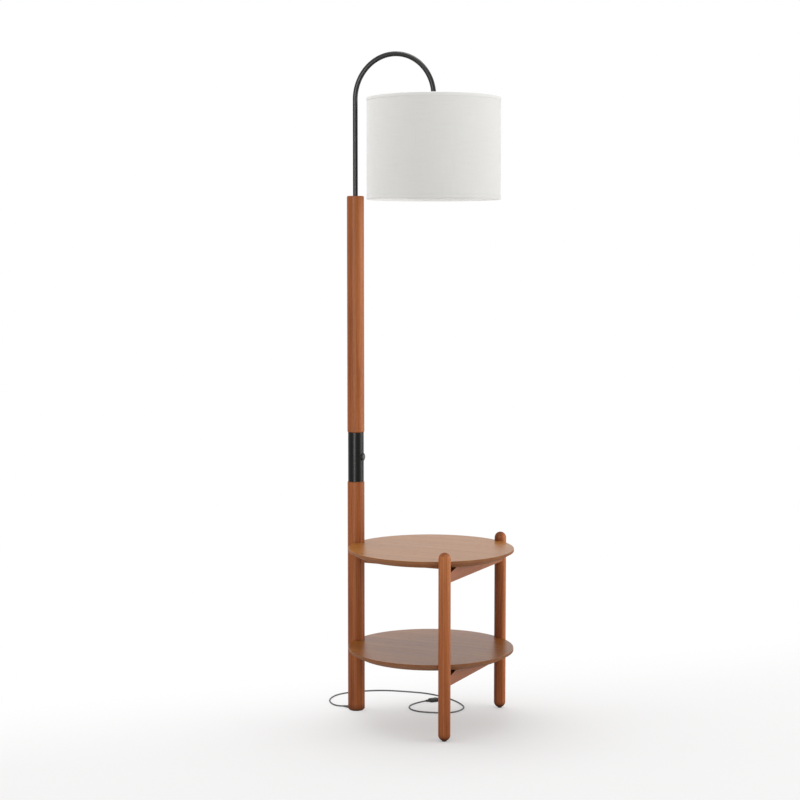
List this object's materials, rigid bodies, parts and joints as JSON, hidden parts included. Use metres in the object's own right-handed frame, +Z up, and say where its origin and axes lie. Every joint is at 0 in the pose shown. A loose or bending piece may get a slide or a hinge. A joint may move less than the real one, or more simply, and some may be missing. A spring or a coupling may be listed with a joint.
{
  "type": "floor lamp with table",
  "caption": "Floor lamp with a wooden post, bent black arm and drum shade, joined to a round side table on legs with a lower shelf.",
  "frame": {"origin": "on the floor, under the axis of the post, at the centre of its felt pad", "axes": "+Z up, +X from the post to the centre of the table and under the shade, +Y to the rear leg"},
  "size_m": [0.5164, 0.4179, 1.625],
  "materials": {
    "wood": "satin",
    "dowel_wood": "matte",
    "black_metal": "satin",
    "plated_steel": "satin",
    "white_wire": "gloss",
    "brass": "satin",
    "bulb_metal": "satin",
    "black_plastic": "matte",
    "cord_plastic": "satin",
    "felt": "matte",
    "shade_cloth": "matte",
    "shade_liner": "satin",
    "bulb_glass": "gloss"
  },
  "bodies": {
    "lamp": {"post_lower": "wood", "post_upper": "wood", "leg_front": "wood", "leg_rear": "wood", "shelf_upper": "wood", "shelf_lower": "wood", "cross_rail_upper": "wood", "cross_rail_lower": "wood", "long_rail_upper": "wood", "long_rail_lower": "wood", "rail_dowels_upper": "dowel_wood", "rail_dowels_lower": "dowel_wood", "sleeve": "black_metal", "arm_tube": "black_metal", "lampholder_cap": "black_metal", "switch_bezel": "black_metal", "coupler_lower": "plated_steel", "coupler_upper": "plated_steel", "arm_bush": "plated_steel", "arm_nipple": "plated_steel", "nipple_nut": "plated_steel", "shelf_screws_upper": "plated_steel", "shelf_screws_lower": "plated_steel", "lampholder_contact": "plated_steel", "shade_spider": "white_wire", "shade_top_wire": "white_wire", "shade_bottom_wire": "white_wire", "insert_lower": "brass", "insert_upper": "brass", "lampholder_shell": "brass", "plug_blades": "brass", "bulb_cap": "bulb_metal", "switch_body": "black_plastic", "lampholder_barrel": "black_plastic", "shade_clamp_ring": "black_plastic", "cord": "cord_plastic", "cord_gland": "cord_plastic", "plug_body": "cord_plastic", "lead_lower": "cord_plastic", "lead_upper": "cord_plastic", "post_pad": "felt", "leg_pads": "felt", "shade_cloth": "shade_cloth", "shade_top_hem": "shade_cloth", "shade_bottom_hem": "shade_cloth", "shade_liner": "shade_liner", "bulb_globe": "bulb_glass"},
    "button": {"switch_button": "black_plastic"}
  },
  "joints": [
    {"name": "button_press", "type": "slide", "parent": "lamp", "child": "button", "axis": [-1, 0, 0], "range_m": [0, 0.0025], "stiffness_N_per_m": 600, "springref_m": -0.002}
  ]
}
